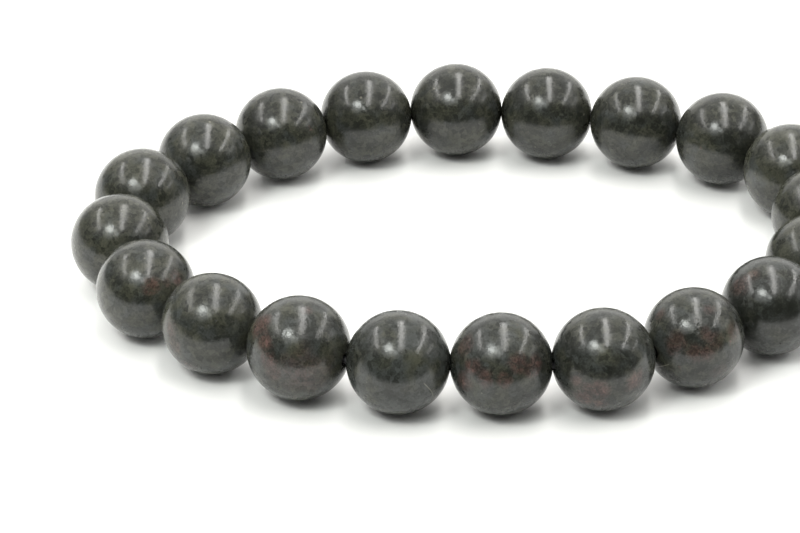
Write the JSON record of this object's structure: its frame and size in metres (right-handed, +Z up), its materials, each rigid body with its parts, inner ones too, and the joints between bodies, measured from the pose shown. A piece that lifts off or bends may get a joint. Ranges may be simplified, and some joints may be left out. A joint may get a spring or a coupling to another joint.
{
  "type": "bead bracelet",
  "caption": "Stretch bracelet of round polished stone beads, dark green-black matrix with red-brown garnet, strung on elastic and lying flat as a loose oval.",
  "frame": {"origin": "on the surface that the beads rest on, under the middle of the oval's box", "axes": "+Z up, away from that surface and along the string's own axis of turning; +X along the oval's longer side"},
  "size_m": [0.0834, 0.064, 0.0102],
  "materials": {
    "matrix_stone": "polished",
    "garnet_rich_stone": "polished",
    "elastic": "satin"
  },
  "bodies": {
    "root": {"bead_01": "matrix_stone", "bead_02": "garnet_rich_stone", "bead_03": "matrix_stone", "bead_04": "garnet_rich_stone", "bead_05": "matrix_stone", "bead_06": "garnet_rich_stone", "bead_07": "garnet_rich_stone", "bead_08": "garnet_rich_stone", "bead_09": "matrix_stone", "bead_10": "matrix_stone", "bead_11": "matrix_stone", "bead_12": "matrix_stone", "bead_13": "garnet_rich_stone", "bead_14": "matrix_stone", "bead_15": "matrix_stone", "bead_16": "matrix_stone", "bead_17": "matrix_stone", "bead_18": "garnet_rich_stone", "bead_19": "matrix_stone", "bead_20": "matrix_stone", "elastic_cord": "elastic"}
  },
  "joints": []
}
